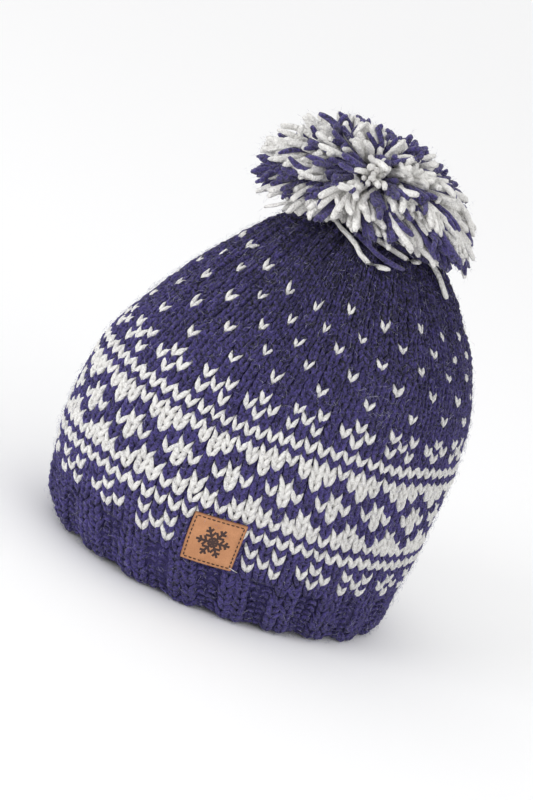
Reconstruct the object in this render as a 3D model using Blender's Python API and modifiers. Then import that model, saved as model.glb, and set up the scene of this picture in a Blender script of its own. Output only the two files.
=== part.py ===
"""A bobble hat, hand knitted in wool: a ribbed brim, a crown gathered at its top,
a big pompom tied through the gathering and a small leather patch on the side.

The hat stands upright on its rim. X is its width, +Y points to the back of the
head, -Y to the forehead, and Z is up from the surface under the rim. Metres.
"""

from collections import namedtuple
from math import cos, hypot, radians, sin, tau

import bmesh
import bpy
import numpy as np
from mathutils import Vector

WALL = 0.005  # thickness of the knitted wool
GAP = 0.0003  # air between two neighbouring pieces

# The knitted body, rim to apex, one row for each section. The sections are ovals:
# half_width lies along X, half_length along Y, and middle_y is how far back the
# oval's middle is. The knitted columns wander round the hat on their way up, and
# column_at is where column 0 is, in stitches from +X. Gather is the depth of the folds.
Section = namedtuple("Section", "height half_width half_length middle_y column_at gather")
BODY = [
    Section(0.000, 0.0730, 0.0936, 0.0065, -1.9, 0.0000),
    Section(0.010, 0.0778, 0.0998, 0.0041, -2.0, 0.0000),
    Section(0.028, 0.0802, 0.1028, 0.0017, -2.3, 0.0000),
    Section(0.047, 0.0821, 0.1052, 0.0000, -2.6, 0.0000),
    Section(0.075, 0.0815, 0.1047, -0.0006, -3.1, 0.0000),
    Section(0.099, 0.0798, 0.1026, 0.0010, -3.8, 0.0000),
    Section(0.125, 0.0738, 0.0946, 0.0049, -4.4, 0.0003),
    Section(0.150, 0.0660, 0.0804, 0.0074, -4.9, 0.0008),
    Section(0.170, 0.0557, 0.0655, 0.0077, -5.5, 0.0016),
    Section(0.186, 0.0447, 0.0512, 0.0072, -6.0, 0.0024),
    Section(0.198, 0.0320, 0.0345, 0.0050, -6.4, 0.0028),
    Section(0.205, 0.0040, 0.0040, -0.0089, -6.6, 0.0000),
]
SEAM_ROW = 2  # the section where the brim ends and the crown begins
APEX = BODY[-1]
SHOULDER_HEIGHT = 0.100  # the skin only narrows above this

STITCHES = 80  # knitted columns round the hat
RIB_STITCHES = 4  # two knit and two purl columns make one rib of the brim
RIB_CREST_COLUMN = -1.5
RIB_RELIEF = 0.0016  # the purl columns lie this much deeper than the knit ones
RIM_SCALLOP = 0.0015  # and are drawn up this much at the rim
FOLD_STITCHES = 4
FOLD_CREST_COLUMN = 0.5

PATCH_WIDTH = 0.0265
PATCH_HEIGHT = 0.025
PATCH_THICKNESS = 0.0016
PATCH_CORNER = 0.0009  # how far a corner is drawn in
PATCH_AT_STITCH = -6.3  # its middle, in stitches from +X
PATCH_AT_HEIGHT = 0.0412
PATCH_TURN = radians(4.5)

POMPOM_RADIUS = 0.0597  # the longest strands, before they bend over the crown
POMPOM_CORE = 0.0365  # the packed middle that the locks stand on
POMPOM_RISE = 0.0455  # its top above the apex
POMPOM_FULLNESS = 1.3  # how fast the rise grows from the lowest lock to the top one
POMPOM_MIDDLE_Y = APEX.middle_y + 0.0018
POMPOM_SEAT_GAP = 0.0006
POMPOM_DROOP = 0.5  # the smaller this is, the less the low locks follow the dome down
# The locks grow in two lengths. Spread is their width against the full fan's.
LockStep = namedtuple("LockStep", "reach spread")
LOCK_STEPS = [LockStep(0.0488, 0.93), LockStep(0.0570, 0.74)]
LOCK_UNEVEN = 0.0027  # a lock may end this much sooner or later

TIE_RADIUS = APEX.half_width - GAP
KNOT_RADIUS = 0.0075
KNOT_HEIGHT = 0.0050
TIE_STEPS = 16


def clear_scene():
    for old in list(bpy.data.objects):
        bpy.data.objects.remove(old, do_unlink=True)


def add_material(name, colour, roughness, metallic=0.0):
    material = bpy.data.materials.new(name)
    material.use_nodes = True
    shader = material.node_tree.nodes["Principled BSDF"]
    shader.inputs["Base Color"].default_value = (*colour, 1.0)
    shader.inputs["Roughness"].default_value = roughness
    shader.inputs["Metallic"].default_value = metallic
    return material


def add_object(name, bm, collection, material, smooth_angle=radians(40)):
    """Turn the finished bmesh into a named object with its material."""
    mesh = bpy.data.meshes.new(name)
    bm.to_mesh(mesh)
    bm.free()
    mesh.materials.append(material)
    mesh.shade_smooth()
    mesh.set_sharp_from_angle(angle=smooth_angle)
    piece = bpy.data.objects.new(name, mesh)
    collection.objects.link(piece)
    return piece


def spline(values, place):
    """Height of a Catmull-Rom curve through the values, at a place counted in rows."""
    last = len(values) - 1
    row = min(int(place), last - 1)
    along = place - row
    before, start, end, after = (values[min(max(row + step, 0), last)] for step in (-1, 0, 1, 2))
    leaving = (end - before) / 2
    arriving = (after - start) / 2
    bend = 3 * (end - start) - 2 * leaving - arriving
    twist = leaving + arriving - 2 * (end - start)
    return start + along * (leaving + along * (bend + along * twist))


def body_value(place, column):
    return spline([getattr(row, column) for row in BODY], place)


def even_angles(aspect, steps=720):
    """Angles round an oval of this width over length, and the share of its edge walked."""
    angles = np.linspace(0.0, tau, steps + 1)
    walked = np.hypot(np.diff(aspect * np.cos(angles)), np.diff(np.sin(angles))).cumsum()
    return angles, np.concatenate(([0.0], walked / walked[-1]))


OVAL_ANGLES, OVAL_SHARES = even_angles(BODY[0].half_width / BODY[0].half_length)


def angle_at(stitch):
    """The oval's angle at a number of stitches from +X, all stitches being equally wide."""
    return float(np.interp((stitch / STITCHES) % 1.0, OVAL_SHARES, OVAL_ANGLES))


def body_point(place, stitch):
    """A point on the hat's outer skin, before ribs and folds."""
    angle = angle_at(stitch)
    return Vector((
        body_value(place, "half_width") * cos(angle),
        body_value(place, "middle_y") + body_value(place, "half_length") * sin(angle),
        body_value(place, "height"),
    ))


def body_normal(place, stitch, step=0.02):
    """The direction out of the skin, from two short steps along it."""
    top = min(place + step, len(BODY) - 1)
    bottom = max(place - step, 0)
    upward = body_point(top, stitch) - body_point(bottom, stitch)
    round_about = body_point(place, stitch + step) - body_point(place, stitch - step)
    return round_about.cross(upward).normalized()


def crest(column, crest_column, period):
    """1 on the crest of a rib or fold and 0 in the valley beside it, both a little flat."""
    wave = cos(tau * (column - crest_column) / period)
    return min(max(0.5 + 0.75 * wave, 0.0), 1.0)


def place_at_height(height):
    """Where up the table of sections the skin has this height."""
    low, high = 0.0, len(BODY) - 1.0
    for _ in range(40):
        middle = (low + high) / 2
        if body_value(middle, "height") < height:
            low = middle
        else:
            high = middle
    return low


def loft(rings):
    """Bridge each ring of points to the next, and the last to the first."""
    bm = bmesh.new()
    rows = [[bm.verts.new(point) for point in ring] for ring in rings]
    for row, next_row in zip(rows, rows[1:] + rows[:1]):
        for k in range(len(row)):
            after = (k + 1) % len(row)
            bm.faces.new((row[k], row[after], next_row[after], next_row[k]))
    bmesh.ops.recalc_face_normals(bm, faces=bm.faces)
    return bm


def columns_round(count, first):
    """Evenly spaced places round the hat, in knitted columns."""
    return [first + k * STITCHES / count for k in range(count)]


def outer_ring(place, columns, crest_column, period, depth):
    ring = []
    for column in columns:
        stitch = column + body_value(place, "column_at")
        sunk = depth * (1 - crest(column, crest_column, period))
        ring.append(body_point(place, stitch) - sunk * body_normal(place, stitch))
    return ring


def inner_ring(place, columns):
    ring = []
    for column in columns:
        stitch = column + body_value(place, "column_at")
        ring.append(body_point(place, stitch) - WALL * body_normal(place, stitch))
    return ring


def ribbed_brim(collection, material):
    """The ribbed edge. Its purl columns lie deeper, and are drawn up at the rim."""
    sides_per_rib = 6
    ribs = STITCHES // RIB_STITCHES
    step = RIB_STITCHES / sides_per_rib
    columns = columns_round(ribs * sides_per_rib, RIB_CREST_COLUMN + step / 2)
    # Relief fades towards the seam, where the plain knitting takes over.
    Row = namedtuple("Row", "place relief")
    outside = [Row(0.0, 0.8), Row(0.35, 1.0), Row(1.0, 1.0), Row(1.6, 0.7), Row(SEAM_ROW, 0.25)]
    inside = [SEAM_ROW, 1.0, 0.0]
    rings = [
        outer_ring(row.place, columns, RIB_CREST_COLUMN, RIB_STITCHES, row.relief * RIB_RELIEF)
        for row in outside
    ]
    rings += [inner_ring(place, columns) for place in inside]
    for rim_ring in (rings[0], rings[-1]):
        for point, column in zip(rim_ring, columns):
            point.z = RIM_SCALLOP * (1 - crest(column, RIB_CREST_COLUMN, RIB_STITCHES))
    return add_object("ribbed_brim", loft(rings), collection, material)


def crown(collection, material):
    """The knitted dome, drawn together at its top in folds round a small hole."""
    sides_per_fold = 5
    folds = STITCHES // FOLD_STITCHES
    columns = columns_round(folds * sides_per_fold, FOLD_CREST_COLUMN)
    start = place_at_height(BODY[SEAM_ROW].height + GAP)
    top = len(BODY) - 1
    outside = [start, 3, 4, 5, 6, 7, 7.5, 8, 8.5, 9, 9.5, 10, 10.5, top]
    inside = [10.5, 10, 9, 8, 7, 6, 4, start]
    rings = []
    for place in outside:
        depth = body_value(place, "gather")
        rings.append(outer_ring(place, columns, FOLD_CREST_COLUMN, FOLD_STITCHES, depth))
    # The small hole's side is upright.
    rings.append([point - Vector((0, 0, WALL)) for point in rings[-1]])
    rings += [inner_ring(place, columns) for place in inside]
    return add_object("crown", loft(rings), collection, material)


def dome_height(x, y):
    """Height of the crown's skin above or below a point, looking straight down."""
    low, high = place_at_height(SHOULDER_HEIGHT), len(BODY) - 1.0
    for _ in range(30):
        middle = (low + high) / 2
        across = x / body_value(middle, "half_width")
        along = (y - body_value(middle, "middle_y")) / body_value(middle, "half_length")
        if hypot(across, along) < 1:
            low = middle
        else:
            high = middle
    return body_value(low, "height")


def settle_on_crown(point):
    """Move a point of a round ball to where it lies when the ball sits on the crown."""
    x = point.x
    y = point.y + POMPOM_MIDDLE_Y
    share = max(point.z + POMPOM_RADIUS, 0.0) / (2 * POMPOM_RADIUS)
    seat = dome_height(x, y) + POMPOM_SEAT_GAP
    drop = APEX.height + POMPOM_SEAT_GAP - seat
    lifted = drop * share ** POMPOM_DROOP + POMPOM_RISE * share ** POMPOM_FULLNESS
    return Vector((x, y, seat + lifted))


def lock_outlines(radius):
    """A ball of five- and six-sided faces, one for each lock: an icosphere's dual."""
    bm = bmesh.new()
    bmesh.ops.create_icosphere(bm, subdivisions=3, radius=radius)
    old_edges = bm.edges[:]
    old_corners = bm.verts[:]
    bmesh.ops.poke(bm, faces=bm.faces[:])
    bmesh.ops.rotate_edges(bm, edges=old_edges, use_ccw=True)
    bmesh.ops.dissolve_verts(bm, verts=old_corners)
    return bm


def pompom(collection, material):
    """A ball of wool locks, flattened underneath where it sits on the crown."""
    bm = lock_outlines(POMPOM_CORE)
    tips = bm.faces[:]
    for step in LOCK_STEPS:
        tips = bmesh.ops.extrude_discrete_faces(bm, faces=tips)["faces"]
        for tip in tips:
            middle = tip.calc_center_median()
            outward = middle.normalized()
            # Neighbouring locks end at different lengths and lean a little aside.
            uneven = sin(7 * outward.x + 5 * outward.y) + sin(9 * outward.y - 8 * outward.z)
            lean = Vector((sin(11 * outward.z), sin(13 * outward.x), sin(12 * outward.y)))
            reach = step.reach + LOCK_UNEVEN * uneven / 2
            fan = step.spread * step.reach / middle.length
            target = outward * reach + lean * LOCK_UNEVEN / 3
            for corner in tip.verts:
                corner.co = target + (corner.co - middle) * fan
    for corner in bm.verts:
        corner.co = settle_on_crown(corner.co)
    return add_object("pompom", bm, collection, material)


def pompom_tie(collection, material):
    """The cord that holds the pompom: a stub in the crown's hole and its knot inside."""
    under_wall = APEX.height - WALL - GAP
    knot_top = under_wall - 2 * GAP
    Turned = namedtuple("Turned", "radius height")
    profile = [
        Turned(0.0, APEX.height),
        Turned(TIE_RADIUS * 0.8, APEX.height),
        Turned(TIE_RADIUS, APEX.height - TIE_RADIUS * 0.2),
        Turned(TIE_RADIUS, knot_top),
        Turned(KNOT_RADIUS * 0.9, knot_top - 0.05 * KNOT_HEIGHT),
        Turned(KNOT_RADIUS, knot_top - 0.4 * KNOT_HEIGHT),
        Turned(KNOT_RADIUS * 0.7, knot_top - 0.9 * KNOT_HEIGHT),
        Turned(0.0, knot_top - KNOT_HEIGHT),
    ]
    bm = bmesh.new()
    corners = [bm.verts.new((row.radius, 0, row.height)) for row in profile]
    for corner, below in zip(corners, corners[1:]):
        bm.edges.new((corner, below))
    mesh = bpy.data.meshes.new("pompom_tie")
    bm.to_mesh(mesh)
    bm.free()
    mesh.materials.append(material)
    piece = bpy.data.objects.new("pompom_tie", mesh)
    collection.objects.link(piece)
    piece.location = (0, APEX.middle_y, 0)
    turn = piece.modifiers.new("turned", "SCREW")
    turn.steps = TIE_STEPS
    turn.render_steps = TIE_STEPS
    turn.use_merge_vertices = True
    turn.merge_threshold = 0.00005
    return piece


def leather_patch(collection, material):
    """A small stiff square sewn over the knitting, curved as the hat is."""
    bm = bmesh.new()
    bmesh.ops.create_cube(bm, size=1.0)
    upright = [edge for edge in bm.edges if abs(edge.verts[0].co.z - edge.verts[1].co.z) < 0.5]
    bmesh.ops.subdivide_edges(bm, edges=upright, cuts=5, use_grid_fill=True)
    place = place_at_height(PATCH_AT_HEIGHT)
    stitch_width = (body_point(place, PATCH_AT_STITCH + 1) - body_point(place, PATCH_AT_STITCH)).length
    for corner in bm.verts:
        across, upward, depth = corner.co
        drawn_in = PATCH_CORNER * (2 * across) ** 4 * (2 * upward) ** 4
        x = across * (PATCH_WIDTH - drawn_in)
        y = upward * (PATCH_HEIGHT - drawn_in)
        along = x * cos(PATCH_TURN) - y * sin(PATCH_TURN)
        above = x * sin(PATCH_TURN) + y * cos(PATCH_TURN)
        stitch = PATCH_AT_STITCH + along / stitch_width
        here = place_at_height(PATCH_AT_HEIGHT + above)
        lift = GAP + (depth + 0.5) * PATCH_THICKNESS
        corner.co = body_point(here, stitch) + lift * body_normal(here, stitch)
    return add_object("leather_patch", bm, collection, material)


def build():
    clear_scene()
    collection = bpy.data.collections.new("bobble_hat")
    bpy.context.scene.collection.children.link(collection)
    navy = add_material("navy_wool", (0.045, 0.036, 0.150), roughness=0.95)
    mixed = add_material("cream_and_navy_wool", (0.48, 0.46, 0.48), roughness=0.95)
    leather = add_material("tan_leather", (0.56, 0.24, 0.08), roughness=0.6)
    ribbed_brim(collection, navy)
    crown(collection, navy)
    pompom(collection, mixed)
    pompom_tie(collection, navy)
    leather_patch(collection, leather)


build()
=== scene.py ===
# %% [markdown]
# # A hand-knitted bobble hat
# The real hat is knitted round and round in thick wool: a ribbed brim, a band of
# cream and navy pattern, a plain top with cream flecks, and a big pompom tied
# through the gathered end. A picture of knitting wrapped round a dome would look
# flat at the edges, so here every stitch is a small piece of yarn of its own, laid
# on the same ovals as the solid model. We start by loading that model. It fixes
# the size and place of everything that follows.

# %% Load the fixed frame
from collections import namedtuple
from math import cos, pi, radians, sin, tau

import bmesh
import bpy
import numpy as np
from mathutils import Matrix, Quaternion, Vector


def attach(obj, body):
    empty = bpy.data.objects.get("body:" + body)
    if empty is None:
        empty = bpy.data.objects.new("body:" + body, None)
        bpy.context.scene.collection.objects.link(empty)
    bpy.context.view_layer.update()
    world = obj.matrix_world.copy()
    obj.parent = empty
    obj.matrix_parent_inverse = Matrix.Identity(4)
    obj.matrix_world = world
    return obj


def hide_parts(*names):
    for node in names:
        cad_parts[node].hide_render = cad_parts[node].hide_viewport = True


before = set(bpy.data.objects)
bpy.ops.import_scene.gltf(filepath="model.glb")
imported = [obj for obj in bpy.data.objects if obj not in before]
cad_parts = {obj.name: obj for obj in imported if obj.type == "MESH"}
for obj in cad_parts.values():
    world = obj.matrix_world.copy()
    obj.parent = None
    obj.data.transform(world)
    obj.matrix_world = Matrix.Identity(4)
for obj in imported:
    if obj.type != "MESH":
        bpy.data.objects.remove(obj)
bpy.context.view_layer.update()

MM = 0.001

# %% [markdown]
# The camera looks down a little on the hat's left front. The hat was laid with a
# tilt in the picture that we match, so the camera is rolled about its own line of
# sight while the hat stands level. A long lens keeps the sides nearly parallel.

# %% The camera
LOOK_AT = Vector((-0.0015, -0.0082, 0.0956))
CAMERA_DISTANCE = 1.3
CAMERA_AZIMUTH = radians(60)
CAMERA_ELEVATION = radians(15)
CAMERA_ROLL = radians(25.2)
CAMERA_LENS = 112.5  # millimetres, on a sensor 36 wide

to_camera = Vector((
    sin(CAMERA_AZIMUTH) * cos(CAMERA_ELEVATION),
    -cos(CAMERA_AZIMUTH) * cos(CAMERA_ELEVATION),
    sin(CAMERA_ELEVATION),
))
camera_data = bpy.data.cameras.new("camera")
camera_data.lens = CAMERA_LENS
camera_data.sensor_width = 36
camera = bpy.data.objects.new("camera", camera_data)
bpy.context.scene.collection.objects.link(camera)
camera.location = LOOK_AT + CAMERA_DISTANCE * to_camera
level = to_camera.to_track_quat("Z", "Y")
rolled = level @ Quaternion((0, 0, 1), CAMERA_ROLL)
camera.rotation_euler = rolled.to_euler()
picture_right = np.array(rolled @ Vector((1, 0, 0)))
picture_up = np.array(rolled @ Vector((0, 1, 0)))
bpy.context.scene.camera = camera
print("the camera stands at", [round(side, 2) for side in camera.location], "m")

# %% [markdown]
# The hat stands on a white studio floor. The world is nearly white as well, which
# lights the wool from all round. A soft lamp to the left of the camera gives the
# stitches their gentle shadows, and a weaker one opens them a little from the right.

# %% Floor and light
FLOOR_SIZE = 60.0
FLOOR_WHITE = (0.96, 0.96, 0.965, 1.0)
WORLD_WHITE = (1.0, 1.0, 1.0, 1.0)
WORLD_STRENGTH = 0.95

bpy.ops.object.select_all(action="DESELECT")
bpy.ops.mesh.primitive_plane_add(size=FLOOR_SIZE)
floor = bpy.context.object
floor.name = "studio_floor"

scene = bpy.context.scene
scene.view_settings.view_transform = "Standard"
world = bpy.data.worlds.new("white_studio")
world.use_nodes = True
backdrop = world.node_tree.nodes["Background"]
backdrop.inputs["Color"].default_value = WORLD_WHITE
backdrop.inputs["Strength"].default_value = WORLD_STRENGTH
scene.world = world


def add_lamp(name, place, size, power):
    """A square lamp that looks at the middle of the hat."""
    lamp = bpy.data.lights.new(name, "AREA")
    lamp.size = size
    lamp.energy = power
    holder = bpy.data.objects.new(name, lamp)
    scene.collection.objects.link(holder)
    holder.location = place
    holder.rotation_euler = (Vector(place) - LOOK_AT).to_track_quat("Z", "Y").to_euler()


add_lamp("key_lamp", (0.45, -1.90, 0.75), 0.9, 15)
add_lamp("fill_lamp", (2.1, 0.4, 0.8), 1.2, 5)
print("lamps:", [thing.name for thing in scene.objects if thing.type == "LIGHT"])

# %% [markdown]
# Materials are trees of nodes, and sums written with nodes are hard to read. So a
# small class wraps one socket and lets us write the sums as Python. A second class
# holds one material: its `node` method makes any node, first with its settings and
# then with its sockets.


# %% Sums on sockets
class Wire:
    """One output socket, which can be added, multiplied and compared like a number."""

    def __init__(self, finish, socket):
        self.finish = finish
        self.socket = socket

    def sum(self, operation, first, second=0.0):
        return self.finish.node("ShaderNodeMath", {"operation": operation}, {0: first, 1: second})

    def __add__(self, other):
        return self.sum("ADD", self, other)

    def __sub__(self, other):
        return self.sum("SUBTRACT", self, other)

    def __mul__(self, other):
        return self.sum("MULTIPLY", self, other)

    def __truediv__(self, other):
        return self.sum("DIVIDE", self, other)

    def __pow__(self, other):
        return self.sum("POWER", self, other)

    def __lt__(self, other):
        return self.sum("LESS_THAN", self, other)

    def __gt__(self, other):
        return self.sum("GREATER_THAN", self, other)

    def __abs__(self):
        return self.sum("ABSOLUTE", self)

    def __rsub__(self, other):
        return self.sum("SUBTRACT", other, self)

    __radd__ = __add__
    __rmul__ = __mul__

    def sine(self):
        return self.sum("SINE", self)

    def larger(self, other):
        return self.sum("MAXIMUM", self, other)

    def smaller(self, other):
        return self.sum("MINIMUM", self, other)


# %% One finish
class Finish:
    """A material with its Principled shader, and short ways to add to it."""

    def __init__(self, name, **constants):
        self.material = bpy.data.materials.new(name)
        self.material.use_nodes = True
        self.tree = self.material.node_tree
        self.shader = self.tree.nodes["Principled BSDF"]
        for socket, value in constants.items():
            self.shader.inputs[socket.replace("_", " ")].default_value = value

    def feed(self, socket, value):
        if isinstance(value, Wire):
            self.tree.links.new(value.socket, socket)
        else:
            socket.default_value = value

    def node(self, kind, settings=None, sockets=None, output=0):
        made = self.tree.nodes.new(kind)
        for name, value in (settings or {}).items():
            setattr(made, name, value)
        for socket, value in (sockets or {}).items():
            self.feed(made.inputs[socket], value)
        return Wire(self, made.outputs[output])

    def mix(self, share, start, end):
        """A colour between two colours."""
        return self.node("ShaderNodeMix", {"data_type": "RGBA"}, {0: share, 6: start, 7: end}, 2)

    def coordinates(self):
        """Places on the object, in metres."""
        return self.node("ShaderNodeTexCoord", output="Object")

    def noise(self, vector, scale, detail=2.0, contrast=1.0):
        """Cloudy noise about 0.5; contrast spreads it towards 0 and 1."""
        sockets = {"Vector": vector, "Scale": scale, "Detail": detail}
        cloud = self.node("ShaderNodeTexNoise", sockets=sockets)
        return (cloud - 0.5) * contrast + 0.5

    def streaks(self, vector, turn, length, width, contrast):
        """Noise drawn out along one direction, like fibres; length and width in metres."""
        scale = (1 / length, 1 / width, 1 / width)
        sockets = {"Vector": vector, "Rotation": turn, "Scale": scale}
        drawn = self.node("ShaderNodeMapping", sockets=sockets)
        return self.noise(drawn, 1.0, 1.0, contrast)

    def attribute(self, name):
        """A number that the mesh carries at each of its corners."""
        return self.node("ShaderNodeAttribute", {"attribute_name": name}, output="Fac")

    def parts(self, vector):
        """The x, y and z of a vector."""
        split = self.tree.nodes.new("ShaderNodeSeparateXYZ")
        self.feed(split.inputs[0], vector)
        return [Wire(self, output) for output in split.outputs]

    def raise_surface(self, height, depth):
        """Bump the surface: depth is how far height 1 stands above height 0."""
        bump = self.node("ShaderNodeBump", sockets={"Height": height, "Distance": depth})
        self.feed(self.shader.inputs["Normal"], bump)

    def colour(self, value):
        self.feed(self.shader.inputs["Base Color"], value)


# %% The floor's finish
floor_finish = Finish("studio_white", Roughness=0.9)
floor_finish.colour(FLOOR_WHITE)
floor.data.materials.append(floor_finish.material)
print("the floor is", floor.data.materials[0].name)

# %% [markdown]
# Two plies twisted together make this yarn, and loose fibres wrap it all along. The
# twist follows the yarn, so it is drawn on the yarn's own UV map: u runs round it
# and v along it. The fibres lie every way, so they are three sets of streaks, each
# one noise stretched and turned its own way, and the brightest of the three shows.
# Twist and fibres bump the yarn and also darken its colour where they lie low:
# painted shade in its grooves.
# Each stitch adds a `tone` of its own, because hand-dyed wool is never quite even.
# Towards the top the stitches are packed closely and little light gets between
# them, so navy knitting is darkened with its height there: painted shade. Sheen
# stands for the light that the finest hairs catch.

# %% Wool
PLIES = 2
# Between these heights the painted shade near the top grows to its full depth.
TOP_SHADE_FROM = 0.085
TOP_SHADE_TO = 0.190
FIBRE_LENGTH = 5.0 * MM
FIBRE_WIDTH = 0.9 * MM
FIBRE_TURNS = ((0.3, 0.7, 0.2), (1.1, -0.6, 1.4), (-0.8, 0.2, 2.4))


def wool(name, deep, lit, turns, sheen, packed=0.0):
    """Twisted yarn whose plies wind round `turns` times, darker by packed near the top: painted shade."""
    finish = Finish(
        name,
        Roughness=0.95,
        Sheen_Weight=sheen,
        Sheen_Roughness=0.6,
        Specular_IOR_Level=0.2,
    )
    around, along, _ = finish.parts(finish.node("ShaderNodeUVMap", {"uv_map": "yarn"}))
    twist = (around * (tau * PLIES) + along * (tau * turns)).sine() * 0.5 + 0.5
    place = finish.coordinates()
    tone = finish.attribute("tone")
    sets = [finish.streaks(place, turn, FIBRE_LENGTH, FIBRE_WIDTH, 3.0) for turn in FIBRE_TURNS]
    fibres = sets[0].larger(sets[1]).larger(sets[2])
    tangle = finish.noise(place, 620.0, 4.0, contrast=4.5)
    patches = finish.noise(place, 140.0, contrast=1.6)
    # Each number here says how much its part lightens or darkens the yarn. Twist, tangle
    # and fibres are painted shade and highlight: they also raise the surface, and the
    # colour is darker where they lie low. Patches and tone vary it at random.
    light = twist * 0.10 + tangle * 0.30 + (fibres - 0.5) * 0.70 + patches * 0.12 + tone * 0.14
    # Painted shade: towards the top the colour darkens with height, as little light gets between the
    # crowded stitches.
    if packed:
        height = finish.parts(place)[2]
        share = ((height - TOP_SHADE_FROM) / (TOP_SHADE_TO - TOP_SHADE_FROM)).larger(0.0).smaller(1.0)
        light = light - share * packed
    finish.colour(finish.mix(light * 1.15 - 0.08, deep, lit))
    finish.raise_surface(twist * 0.3 + tangle * 0.5 + fibres * 0.7, 0.7 * MM)
    return finish.material


NAVY_DEEP = (0.004, 0.003, 0.014, 1.0)
NAVY_LIT = (0.090, 0.069, 0.288, 1.0)
CREAM_DEEP = (0.680, 0.662, 0.640, 1.0)
CREAM_LIT = (0.960, 0.952, 0.925, 1.0)
# The navy stitches carry the painted shade towards the top; the cream ones do not.
navy_wool = wool("navy_wool", NAVY_DEEP, NAVY_LIT, 3.0, 0.12, 0.25)
cream_wool = wool("cream_wool", CREAM_DEEP, CREAM_LIT, 3.0, 0.08)
print("the navy wool has", len(navy_wool.node_tree.nodes), "nodes")

# %% [markdown]
# The hat's skin is a stack of ovals. Its table is the one that the solid model was
# made from, so stitches land exactly on it. We read the table through a smooth
# curve, and measure two things on it: equal stitches round each oval, and equal
# rows of knitting up the side.

# %% The skin of the hat
Section = namedtuple("Section", "height half_width half_length middle_y column_at gather")
BODY = [
    Section(0.000, 0.0730, 0.0936, 0.0065, -1.9, 0.0000),
    Section(0.010, 0.0778, 0.0998, 0.0041, -2.0, 0.0000),
    Section(0.028, 0.0802, 0.1028, 0.0017, -2.3, 0.0000),
    Section(0.047, 0.0821, 0.1052, 0.0000, -2.6, 0.0000),
    Section(0.075, 0.0815, 0.1047, -0.0006, -3.1, 0.0000),
    Section(0.099, 0.0798, 0.1026, 0.0010, -3.8, 0.0000),
    Section(0.125, 0.0738, 0.0946, 0.0049, -4.4, 0.0003),
    Section(0.150, 0.0660, 0.0804, 0.0074, -4.9, 0.0008),
    Section(0.170, 0.0557, 0.0655, 0.0077, -5.5, 0.0016),
    Section(0.186, 0.0447, 0.0512, 0.0072, -6.0, 0.0024),
    Section(0.198, 0.0320, 0.0345, 0.0050, -6.4, 0.0028),
    Section(0.205, 0.0040, 0.0040, -0.0089, -6.6, 0.0000),
]
APEX = BODY[-1]
LAST_PLACE = len(BODY) - 1.0
VALUES = {name: np.array([getattr(row, name) for row in BODY]) for name in Section._fields}
STITCHES = 80


def body_value(place, name):
    """A Catmull-Rom curve through one column of the table, at places counted in rows."""
    values = VALUES[name]
    place = np.asarray(place, float)
    last = len(values) - 1
    row = np.clip(np.floor(place).astype(int), 0, last - 1)
    along = place - row
    before, start, end, after = (values[np.clip(row + step, 0, last)] for step in (-1, 0, 1, 2))
    leaving = (end - before) / 2
    arriving = (after - start) / 2
    bend = 3 * (end - start) - 2 * leaving - arriving
    twist = leaving + arriving - 2 * (end - start)
    return start + along * (leaving + along * (bend + along * twist))


print("the widest oval is", round(2 * VALUES["half_length"].max() / MM, 1), "mm long")

# %% Equal stitches round the oval
oval_angles = np.linspace(0.0, tau, 721)
oval_aspect = BODY[0].half_width / BODY[0].half_length
walked = np.hypot(np.diff(oval_aspect * np.cos(oval_angles)), np.diff(np.sin(oval_angles))).cumsum()
oval_shares = np.concatenate(([0.0], walked / walked[-1]))


def skin_point(place, stitch):
    """Points on the outer skin; stitches are counted from +X, against the clock from above."""
    angle = np.interp((np.asarray(stitch) / STITCHES) % 1.0, oval_shares, oval_angles)
    return np.stack([
        body_value(place, "half_width") * np.cos(angle),
        body_value(place, "middle_y") + body_value(place, "half_length") * np.sin(angle),
        body_value(place, "height") + 0 * angle,
    ], axis=-1)


def unit(vectors):
    return vectors / np.maximum(np.linalg.norm(vectors, axis=-1, keepdims=True), 1e-12)


def skin_normal(place, stitch, step=0.02):
    """The direction out of the skin, from two short steps along it."""
    top = np.minimum(place + step, LAST_PLACE)
    bottom = np.maximum(place - step, 0.0)
    upward = skin_point(top, stitch) - skin_point(bottom, stitch)
    round_about = skin_point(place, stitch + step) - skin_point(place, stitch - step)
    return unit(np.cross(round_about, upward))


rim_corners = skin_point(0.0, np.arange(STITCHES + 1))
rim_round = np.linalg.norm(np.diff(rim_corners, axis=0), axis=-1).sum()
print("the rim is", round(rim_round / MM), "mm round")

# %% [markdown]
# Rows are equal steps up the side, smaller in the brim and near the top. A hat that
# has been worn and set down is never quite straight, though. In the picture the
# columns lean round it above the pattern, and the rows sag in some places and ride
# up in others. `pulled` says by how much, so that the flecks land where they show.

# %% Rows of knitting up the side
BRIM_ROWS = 8
FIRST_ROW = -1 - BRIM_ROWS  # the rim; the patterned rows start at 0
PATTERN_ROWS = 21
BRIM_PITCH = 3.5 * MM
ROW_PITCH = 4.18 * MM
TOP_PITCH = 3.95 * MM
STITCH_WIDTH = 7.2 * MM

fine_places = np.linspace(0.0, LAST_PLACE, 2201)
inward = (body_value(fine_places, "half_width") + body_value(fine_places, "half_length")) / 2
climbed = np.hypot(np.diff(body_value(fine_places, "height")), np.diff(inward)).cumsum()
fine_climb = np.concatenate(([0.0], climbed))
fine_height = body_value(fine_places, "height")

seam_climb = BRIM_ROWS * BRIM_PITCH
pattern_climb = seam_climb + PATTERN_ROWS * ROW_PITCH
TOP_ROWS = (fine_climb[-1] - pattern_climb) / TOP_PITCH
APEX_ROW = PATTERN_ROWS - 1 + TOP_ROWS
print("rows from rim to apex:", round(APEX_ROW - FIRST_ROW, 1))

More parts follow.
